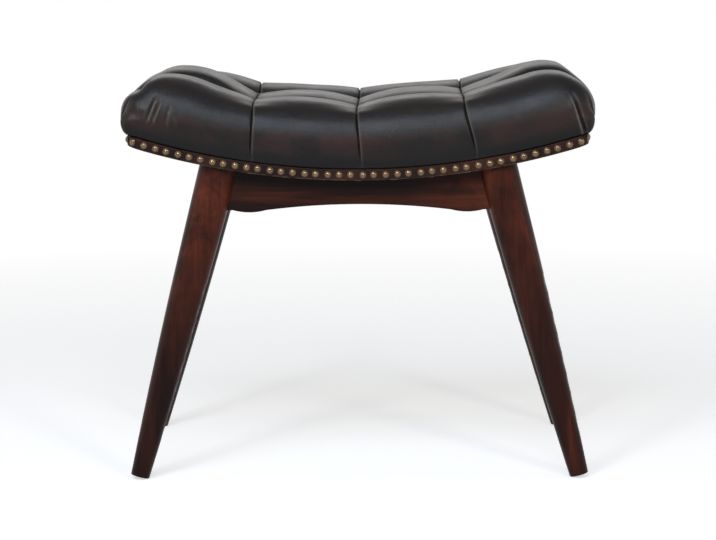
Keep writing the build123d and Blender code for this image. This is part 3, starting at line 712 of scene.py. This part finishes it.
def makeCushion():
    s = cushion
    bm = bmesh.new()
    bmesh.ops.create_cube(bm, size=1.0)
    bmesh.ops.scale(bm, vec=(2 * s["halfLength"], 2 * s["halfDepth"], s["height"]), verts=bm.verts)
    bmesh.ops.translate(bm, vec=(0, 0, s["height"] / 2), verts=bm.verts)
    sliceAlong(bm, 0, sliceStops(s["halfLength"], s["columns"]))
    sliceAlong(bm, 0, bothSides(*s["endSlices"]))
    sliceAlong(bm, 1, sliceStops(s["halfDepth"], s["rows"]))
    sliceAlong(bm, 1, bothSides(*s["sideSlices"]))
    sliceAlong(bm, 2, [s["height"] * share for share in s["levels"]])
    piece = meshObject("seatCushion", bm)
    mesh = piece.data
    flat = readPoints(mesh)
    writePoints(mesh, shapeCushion(flat))
    normals = readPoints(mesh, "vertex_normals", "vector")
    hollow, crease, near, edge = pillowShape(flat)
    pull, bright, dark = foldShape(readPoints(mesh))
    # painted highlight on the fold lips joins the lips, painted shade in their grooves joins the seams
    edge = np.maximum(edge, bright)
    near = np.maximum(near, dark)
    below = flat[:, 2] < 1e-5
    lift = np.where(below, 0, -hollow - s["creaseDepth"] * crease - pull)
    points = readPoints(mesh) + normals * lift[:, None]
    over = below & ((np.abs(points[:, 0]) > seat["halfLength"]) | (np.abs(points[:, 1]) > seat["halfDepth"]))
    points[:, 2] = np.maximum(points[:, 2], 0.0003) - s["overhang"] * over
    points[:, 2] += bendHeight(np.clip(points[:, 0], -seat["halfLength"], seat["halfLength"]), seat["board"])
    writePoints(mesh, points)
    tones = cushionTones
    # darker towards the foot, and painted shade along the seams, row valleys and fold grooves
    foot = tones["foot"] * np.exp(-flat[:, 2] / tones["footFade"])
    fold = np.maximum(foot, tones["fold"] * near ** 1.5)
    # crests lighter, most on the middle row: partly wear and partly painted highlight
    least = tones["crestLeast"]
    crest = smoothStep(flat[:, 2], *tones["crest"]) * (1 - near)
    crest = crest * (least + (1 - least) * hump(flat[:, 1], tones["crestWidth"]))
    low = smoothStep(flat[:, 2], *tones["lowFrom"]) * (1 - smoothStep(flat[:, 2], *tones["lowTo"]))
    setMarks(piece, seamNear=near, foldShare=fold, crestShare=crest, lipShare=edge, lowShare=low)
    finish = piece.modifiers.new("finish", "SUBSURF")
    finish.levels = finish.render_levels = 1
    shadeSmooth(piece)
    print("cushion", len(mesh.vertices), "points")
    return piece


seatCushion = makeCushion()
useMaterial(seatCushion, makeLeather("seatLeather", leather))
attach(seatCushion, "root")
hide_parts("leather_cover", "foam_pad")


# leather wrapped round the board's edge, behind the nailed strip
skirt = {"tall": 0.0152, "middle": 0.0084, "thick": 0.0014, "cornerSteps": 10, "slices": range(-270, 271, 12)}


def makeSkirt():
    bm = openBand(skirt["tall"], skirt["middle"], skirt["cornerSteps"])
    sliceAlong(bm, 0, [place / 1000 for place in skirt["slices"]])
    bmesh.ops.recalc_face_normals(bm, faces=bm.faces)
    bmesh.ops.solidify(bm, geom=bm.faces[:], thickness=skirt["thick"])
    piece = meshObject("edgeLeather", bm)
    points = readPoints(piece.data)
    points[:, 2] += bendHeight(points[:, 0], 0)
    writePoints(piece.data, points)
    shadeSmooth(piece)
    return piece


edgeLeather = makeSkirt()
useMaterial(edgeLeather, makeLeather("edgeLeatherFinish", leather, creases=False))
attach(edgeLeather, "root")
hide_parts("leather_cover")
print("leather done")


# the strip nailed over the leather round the board
strip = {
    "thick": 0.0020,
    "tall": 0.0140,
    "cornerSteps": 12,
    "longSlices": (0.002, 0.0025, 110),  # start, step and number
    "shortSlices": (0.1625, 0.0025, 131),
    "levels": (0.03, 0.08, 0.17, 0.28, 0.40, 0.50, 0.60, 0.72, 0.83, 0.92, 0.97),
    "edgeRound": 0.0006,
    "dimple": 0.00045,  # how far each nail presses the strip in
    "dimpleWidth": 0.0062,
    "buttGap": 0.0006,  # where its ends meet, at the middle of the back
    "deep": (0.0085, 0.0052, 0.0044),
    "warm": (0.030, 0.0125, 0.0080),
    "burnish": (0.070, 0.024, 0.012),
    "dirt": (0.0045, 0.0026, 0.0020),  # painted shade round the nails, under their heads
    "dirtRange": (0.45, 1, 0, 0.8),
    "cut": (0.16, 0.115, 0.070),  # lower edge, where the dye is rubbed off in patches
    "cutRange": (0.02, 0.10),
    "patch": (90.0, 3.0, 0.6),
    "patchRange": (0.42, 0.62, 0.1, 0.75),
    "rough": (0.40, 0.55),
    "gloss": 0.09,
    "wax": 0.0,
}


def nailPlaces(side):
    # tip of each nail and top of its head, read from the node of that side
    bm = bmesh.new()
    bm.from_mesh(nodes["nails_" + side].data)
    bmesh.ops.remove_doubles(bm, verts=bm.verts, dist=1e-6)
    bm.verts.ensure_lookup_table()
    seen = set()
    places = []
    for start in bm.verts:
        if start.index in seen:
            continue
        group, waiting = [], [start]
        seen.add(start.index)
        while waiting:
            point = waiting.pop()
            group.append(point.co)
            for edge in point.link_edges:
                other = edge.other_vert(point)
                if other.index not in seen:
                    seen.add(other.index)
                    waiting.append(other)
        cloud = np.array(group)
        middle = (cloud.min(axis=0) + cloud.max(axis=0)) / 2
        tip = cloud[np.argmax(((cloud - cloud.mean(axis=0)) ** 2).sum(axis=1))]
        top = cloud[np.argmax(((cloud - tip) @ (middle - tip)))]
        places.append((tip, top))
    bm.free()
    return places


nailSides = {side: nailPlaces(side) for side in ("front", "right", "back", "left")}
nailHeads = np.array([top for places in nailSides.values() for tip, top in places])
print("nails found", len(nailHeads))


def makeStrip():
    s = strip
    bm = openBand(s["tall"], s["tall"] / 2, s["cornerSteps"])
    gap = s["buttGap"] / 2
    sliceAlong(bm, 0, [-gap, gap, *bothSides(*s["longSlices"])])
    reach, step, count = s["shortSlices"]
    sliceAlong(bm, 1, [step * index - reach for index in range(count)])
    sliceAlong(bm, 2, [s["tall"] * share for share in s["levels"]])
    centres = [(face, face.calc_center_median()) for face in bm.faces]
    butt = [face for face, centre in centres if abs(centre.x) < gap and centre.y > 0]
    bmesh.ops.delete(bm, geom=butt, context="FACES")
    bmesh.ops.recalc_face_normals(bm, faces=bm.faces)
    bmesh.ops.solidify(bm, geom=bm.faces[:], thickness=-s["thick"])
    piece = meshObject("trimStrip", bm)
    points = readPoints(piece.data)
    core = np.array([seat["halfLength"], seat["halfDepth"]]) - seat["corner"]
    rel = np.abs(points[:, :2]) - core
    beyond = np.hypot(np.maximum(rel[:, 0], 0), np.maximum(rel[:, 1], 0)) - seat["corner"]
    outer = beyond > s["thick"] / 2
    level = points[:, 2] / s["tall"]
    edge = np.clip(np.abs(level - 0.5) * 2, 0, 1)
    points[:, 2] += bendHeight(points[:, 0], 0)
    away = np.full(len(points), 1.0)
    for head in nailHeads:
        away = np.minimum(away, ((points - head) ** 2).sum(axis=1))
    press = np.exp(-away / s["dimpleWidth"] ** 2)
    normal = np.sign(points[:, :2]) * np.maximum(rel, 0)
    normal /= np.maximum(np.linalg.norm(normal, axis=1), 1e-9)[:, None]
    inward = outer * (s["edgeRound"] * edge ** 6 + s["dimple"] * press)
    points[:, :2] -= normal * inward[:, None]
    writePoints(piece.data, points)
    setMarks(piece, nailShare=press, edgeShare=(1 - smoothStep(level, *s["cutRange"])) * outer)
    shadeSmooth(piece)
    return piece


def makeStripLeather(name, look):
    material = makeLeather(name, look, burnished=0.9, creases=False)
    tree = material.node_tree
    colour = tree.nodes["Principled BSDF"].inputs["Base Color"]
    below = colour.links[0].from_socket
    # painted shade round the nails
    tone = mixColours(tree, span(tree, markOn(tree, "nailShare"), *look["dirtRange"]), below, look["dirt"])
    patchy = span(tree, noiseOn(tree, objectPattern(tree), *look["patch"]), *look["patchRange"])
    rubbed = combine(tree, "MULTIPLY", markOn(tree, "edgeShare"), patchy)
    joinNodes(tree, mixColours(tree, rubbed, tone, look["cut"]), colour)
    return material


trimStrip = makeStrip()
useMaterial(trimStrip, makeStripLeather("trimLeather", strip))
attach(trimStrip, "root")
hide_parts("trim_band")
print("strip", len(trimStrip.data.vertices), "points")


# domed nails, dark in the rim
nail = {
    # radius and height over the strip in mm, from the top of the head down
    "profile": ((0.0, 2.6), (1.1, 2.48), (2.2, 2.06), (3.2, 1.36), (3.9, 0.72), (4.3, 0.36), (4.62, 0.22),
                (4.68, 0.08), (4.55, 0.0), (0.95, 0.0), (0.8, -0.3), (0.8, -9.4), (0.0, -12.0)),
    "shank": 0.012,  # from the tip up to the strip
    "rim": 0.0047,  # radius of its head
    "steps": 20,
    "tilt": 3.5,  # degrees that a hand-driven head may lean
}


def makeNailTemplate():
    bm = bmesh.new()
    chain = [bm.verts.new((radius / 1000, 0, height / 1000)) for radius, height in nail["profile"]]
    edges = [bm.edges.new(pair) for pair in zip(chain[:-1], chain[1:])]
    bmesh.ops.spin(bm, geom=chain + edges, cent=(0, 0, 0), axis=(0, 0, 1), angle=math.tau, steps=nail["steps"],
                   use_merge=True)
    bmesh.ops.remove_doubles(bm, verts=bm.verts, dist=1e-6)
    bmesh.ops.recalc_face_normals(bm, faces=bm.faces)
    mesh = bpy.data.meshes.new("nailTemplate")
    bm.to_mesh(mesh)
    bm.free()
    return mesh


nailTemplate = makeNailTemplate()
nailDice = np.random.default_rng(7)


def makeNails(side):
    bm = bmesh.new()
    places = nailSides[side]
    for tip, top in places:
        before = len(bm.verts)
        bm.from_mesh(nailTemplate)
        bm.verts.ensure_lookup_table()
        axis = Vector(top - tip).normalized()
        base = Vector(tip) + axis * nail["shank"]
        lean = Matrix.Rotation(math.radians(nailDice.uniform(0, nail["tilt"])), 4, nailDice.normal(size=3))
        spinTurn = Matrix.Rotation(nailDice.uniform(0, math.tau), 4, "Z")
        turn = axis.to_track_quat("Z", "Y").to_matrix().to_4x4()
        driven = Matrix.Translation(base) @ lean @ turn @ spinTurn
        bmesh.ops.transform(bm, matrix=driven, verts=bm.verts[before:])
    piece = meshObject("nails" + side.capitalize(), bm)
    shape = readPoints(nailTemplate)
    rim = np.hypot(shape[:, 0], shape[:, 1]) / nail["rim"]
    tones = nailDice.uniform(0, 1, len(places))
    setMarks(piece, rimShare=np.tile(rim, len(places)), nailTone=np.repeat(tones, len(shape)))
    shadeSmooth(piece)
    return piece


brass = makeBrass("antiqueBrass")
for side in nailSides:
    sideNails = makeNails(side)
    useMaterial(sideNails, brass)
    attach(sideNails, "root")
    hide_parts("nails_" + side)
print("nails done")


# woven cloth stretched under the board
cloth = {
    "halfLength": 0.283,
    "halfDepth": 0.1715,
    "corner": 0.007,
    "thick": 0.0005,
    "gap": 0.00001,  # to the underside of the board
    "slice": 0.005,
    "sag": 0.0030,
    "hem": 0.012,
    "hemEdge": 0.0012,
    "hemThick": 0.00028,
    "openLength": (0.10, 0.215),  # where the cloth hangs free of the board
    "openDepth": (0.045, 0.125),
    "ripple": 0.0005,
    "waves": (95, 2.0, 31),  # along the cloth, how far they wander and how fast
    "waveDepth": (0.10, 0.135),
    "blackThread": (0.008, 0.008, 0.009),
    "greyThread": (0.03, 0.03, 0.032),
}


def makeDustCloth():
    s = cloth
    bm = bmesh.new()
    bmesh.ops.create_grid(bm, x_segments=1, y_segments=1, size=1.0)
    bmesh.ops.scale(bm, vec=(s["halfLength"], s["halfDepth"], 1), verts=bm.verts)
    bmesh.ops.bevel(bm, geom=bm.verts[:], offset=s["corner"], segments=5, profile=0.5, affect="VERTICES",
                    material=-1)
    sliceAlong(bm, 0, [s["slice"] * index for index in range(-56, 57)])
    sliceAlong(bm, 1, [s["slice"] * index for index in range(-34, 35)])
    for inset in (s["hem"], s["hem"] + s["hemEdge"]):
        sliceAlong(bm, 0, [inset - s["halfLength"], s["halfLength"] - inset])
        sliceAlong(bm, 1, [inset - s["halfDepth"], s["halfDepth"] - inset])
    piece = meshObject("dustCloth", bm)
    points = readPoints(piece.data)
    x, y = points[:, 0], points[:, 1]
    openPart = (1 - smoothStep(np.abs(x), *s["openLength"])) * (1 - smoothStep(np.abs(y), *s["openDepth"]))
    along, wander, across = s["waves"]
    ripple = s["ripple"] * np.sin(x * along + wander * np.sin(y * across))
    ripple = ripple * (1 - smoothStep(np.abs(y), *s["waveDepth"])) * openPart
    fromEdge = np.minimum(s["halfLength"] - np.abs(x), s["halfDepth"] - np.abs(y))
    folded = s["hemThick"] * (1 - smoothStep(fromEdge, s["hem"], s["hem"] + s["hemEdge"]))
    points[:, 2] = bendHeight(x, 0) - s["gap"] - folded - s["sag"] * openPart - ripple
    writePoints(piece.data, points)
    thick = piece.modifiers.new("thickness", "SOLIDIFY")
    thick.thickness = s["thick"]
    thick.offset = -1
    shadeSmooth(piece)
    return piece


dustCloth = makeDustCloth()
useMaterial(dustCloth, makeCloth("blackCloth", cloth["blackThread"], cloth["greyThread"]))
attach(dustCloth, "root")
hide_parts("dust_cover")
print("cloth done")


# the pieces that keep the shape of the part
plainOak = {"dark": (0.20, 0.115, 0.055), "middle": (0.36, 0.23, 0.125), "streak": (0.50, 0.34, 0.20)}
paleBeech = {"dark": (0.40, 0.27, 0.15), "middle": (0.58, 0.42, 0.25), "streak": (0.68, 0.52, 0.33)}
# a darker copy of the mahogany for the aprons: painted shade under the seat
apronStain = {"dark": (0.0050, 0.0028, 0.0028), "middle": (0.0155, 0.0062, 0.0052),
              "streak": (0.120, 0.028, 0.014)}
twineTones = {"dark": (0.30, 0.24, 0.15), "light": (0.55, 0.47, 0.34)}
frameWood = {
    "corners": (("front_left", -1, -1), ("front_right", 1, -1), ("back_left", -1, 1), ("back_right", 1, 1)),
    "sideLean": math.radians(14.8),
    "endLean": math.radians(4.0),
    "legRubbed": (0.16, 0.37),  # heights from which and where the stain is thinnest
    "leftRubbed": 0.85,
    "rightRubbed": 0.35,
    "apronRubbed": ("X", 0.06, 0.20, 0.9),
}
for name, signX, signY in frameWood["corners"]:
    lean = (-signY * frameWood["endLean"], signX * frameWood["sideLean"], 0)
    rubbed = ("Z", *frameWood["legRubbed"], frameWood["leftRubbed" if signX < 0 else "rightRubbed"])
    useMaterial(nodes["leg_" + name], makeWood("legWood_" + name, mahogany, "z", lean, rubbed=rubbed))
    useMaterial(nodes["corner_block_" + name], makeWood("blockWood_" + name, plainOak, "x", gloss=False))
for name in ("apron_front", "apron_back"):
    useMaterial(nodes[name], makeWood(name + "Wood", apronStain, "x", rubbed=frameWood["apronRubbed"]))
for name in ("side_rail_left", "side_rail_right"):
    useMaterial(nodes[name], makeWood(name + "Wood", mahogany, "y"))
useMaterial(nodes["seat_board"], makeWood("plyWood", plainOak, "x", gloss=False))
dowelWood = makeWood("dowelWood", paleBeech, "x", gloss=False, fineness=2.0)
steel = makeSteel("platedSteel")
for name in ("apron_dowels", "rail_dowels"):
    useMaterial(nodes[name], dowelWood)
for name in ("block_screws", "seat_screws", "dust_cover_staples", "tuft_washers"):
    useMaterial(nodes[name], steel)
useMaterial(nodes["tuft_buttons"], makeLeather("buttonLeather", leather, burnished=0.4, creases=False))
useMaterial(nodes["tuft_twines"], makeCloth("waxedTwine", twineTones["dark"], twineTones["light"]))
print("finishes done")


studio = {
    "ambient": 0.21,
    "ceiling": 0.45,  # of the ceiling in reflections, against the white walls
    "ceilingRange": (0.10, 0.92),
    "wall": 0.9,  # and of the walls at both ends, which reach up higher
    "wallRange": (0.20, 0.60),
    "floorHalf": 40.0,
    "floorColour": (0.55, 0.55, 0.55, 1),
    "floorGlow": 0.60,
    "sweepRange": (0.9, 2.2),  # far from the bench the floor turns into the white sweep
    "white": (1, 1, 1, 1),
}


def seenRays(tree):
    path = addNode(tree, "ShaderNodeLightPath").outputs
    return combine(tree, "MAXIMUM", path["Is Camera Ray"], path["Is Transmission Ray"]), path["Is Glossy Ray"]


def makeWorld():
    world = bpy.context.scene.world or bpy.data.worlds.new("studioWorld")
    bpy.context.scene.world = world
    world.use_nodes = True
    tree = world.node_tree
    tree.nodes.clear()
    seen, mirror = seenRays(tree)
    parts = addNode(tree, "ShaderNodeSeparateXYZ")
    joinNodes(tree, objectPattern(tree), parts.inputs[0])
    ceiling = span(tree, parts.outputs["Z"], *studio["ceilingRange"], 1, studio["ceiling"])
    sideways = addNode(tree, "ShaderNodeMath", operation="ABSOLUTE")
    joinNodes(tree, parts.outputs["X"], sideways.inputs[0])
    walls = span(tree, sideways.outputs[0], *studio["wallRange"], 0, studio["wall"])
    room = combine(tree, "MULTIPLY", mirror, combine(tree, "MAXIMUM", ceiling, walls))
    level = addNode(tree, "ShaderNodeMath", operation="MAXIMUM")
    level.inputs[1].default_value = studio["ambient"]
    joinNodes(tree, combine(tree, "MAXIMUM", seen, room), level.inputs[0])
    glow = addNode(tree, "ShaderNodeBackground", Color=studio["white"])
    out = addNode(tree, "ShaderNodeOutputWorld")
    joinNodes(tree, level.outputs[0], glow.inputs["Strength"], glow.outputs[0], out.inputs[0])


def makeFloor():
    bm = bmesh.new()
    bmesh.ops.create_grid(bm, x_segments=2, y_segments=2, size=studio["floorHalf"])
    floor = meshObject("studioFloor", bm)
    material, tree, shader = newMaterial("studioFloorPaint")
    tree.nodes.remove(shader)
    mirror = combine(tree, "MAXIMUM", *seenRays(tree))
    paint = addNode(tree, "ShaderNodeBsdfDiffuse", Color=studio["floorColour"])
    glow = addNode(tree, "ShaderNodeEmission", Color=studio["white"])
    joinNodes(tree, span(tree, mirror, 0, 1, 0, studio["floorGlow"]), glow.inputs["Strength"])
    both = addNode(tree, "ShaderNodeAddShader")
    joinNodes(tree, paint.outputs[0], both.inputs[0], glow.outputs[0], both.inputs[1])
    away = addNode(tree, "ShaderNodeVectorMath", operation="LENGTH")
    joinNodes(tree, objectPattern(tree), away.inputs[0])
    far = combine(tree, "MULTIPLY", span(tree, away.outputs["Value"], *studio["sweepRange"]), mirror)
    sweep = addNode(tree, "ShaderNodeEmission", Color=studio["white"], Strength=1.0)
    blend = addNode(tree, "ShaderNodeMixShader")
    joinNodes(tree, far, blend.inputs[0], both.outputs[0], blend.inputs[1], sweep.outputs[0], blend.inputs[2])
    joinNodes(tree, blend.outputs[0], tree.nodes["Material Output"].inputs["Surface"])
    useMaterial(floor, material)


def softLight(name, place, aim, size, power, colour):
    lamp = bpy.data.lights.new(name, "AREA")
    lamp.shape = "RECTANGLE"
    lamp.size, lamp.size_y = size
    lamp.energy = power
    lamp.color = colour
    holder = bpy.data.objects.new(name, lamp)
    holder.location = place
    holder.rotation_euler = (Vector(aim) - Vector(place)).to_track_quat("-Z", "Y").to_euler()
    bpy.context.scene.collection.objects.link(holder)


makeWorld()
makeFloor()
# name, place, aim, width and height, power, colour
lamps = (
    ("frontSoftbox", (-0.50, -1.85, 2.25), (0, 0, 0.42), (1.7, 1.2), 45, (0.72, 0.84, 1.0)),
    ("leftSpot", (-1.0, -2.1, 1.55), (0, 0, 0.42), (0.30, 0.30), 13.0, (1.0, 0.97, 0.92)),
    ("rightSpot", (1.0, -2.1, 1.55), (0, 0, 0.42), (0.30, 0.30), 13.0, (1.0, 0.97, 0.92)),
    ("backSoftbox", (0.2, 2.4, 1.7), (0, 0, 0.45), (2.4, 0.4), 4, (1.0, 0.95, 0.90)),
    ("leftStrip", (-2.0, -0.3, 0.9), (0, 0, 0.3), (0.3, 1.6), 3, (1, 1, 1)),
    ("rightStrip", (2.0, -0.3, 0.9), (0, 0, 0.3), (0.3, 1.6), 3, (1, 1, 1)),
)
for lamp in lamps:
    softLight(*lamp)
print("studio done")


# the photograph's own view: focal length and width in pixels, place, and two angles in degrees
view = {"focal": 2790.0, "width": 716.0, "place": (-0.0009, -3.70, 0.752), "down": 7.80, "roll": -0.25}


def makeCamera():
    camera = bpy.data.cameras.new("photoCamera")
    camera.sensor_width = 36.0
    camera.lens = view["focal"] / view["width"] * 36.0
    holder = bpy.data.objects.new("photoCamera", camera)
    tip = Matrix.Rotation(math.radians(90 - view["down"]), 4, "X")
    roll = Matrix.Rotation(math.radians(view["roll"]), 4, "Z")
    holder.matrix_world = Matrix.Translation(view["place"]) @ tip @ roll
    bpy.context.scene.collection.objects.link(holder)
    bpy.context.scene.camera = holder


makeCamera()
bpy.context.scene.view_settings.view_transform = "Standard"

print("scene done")
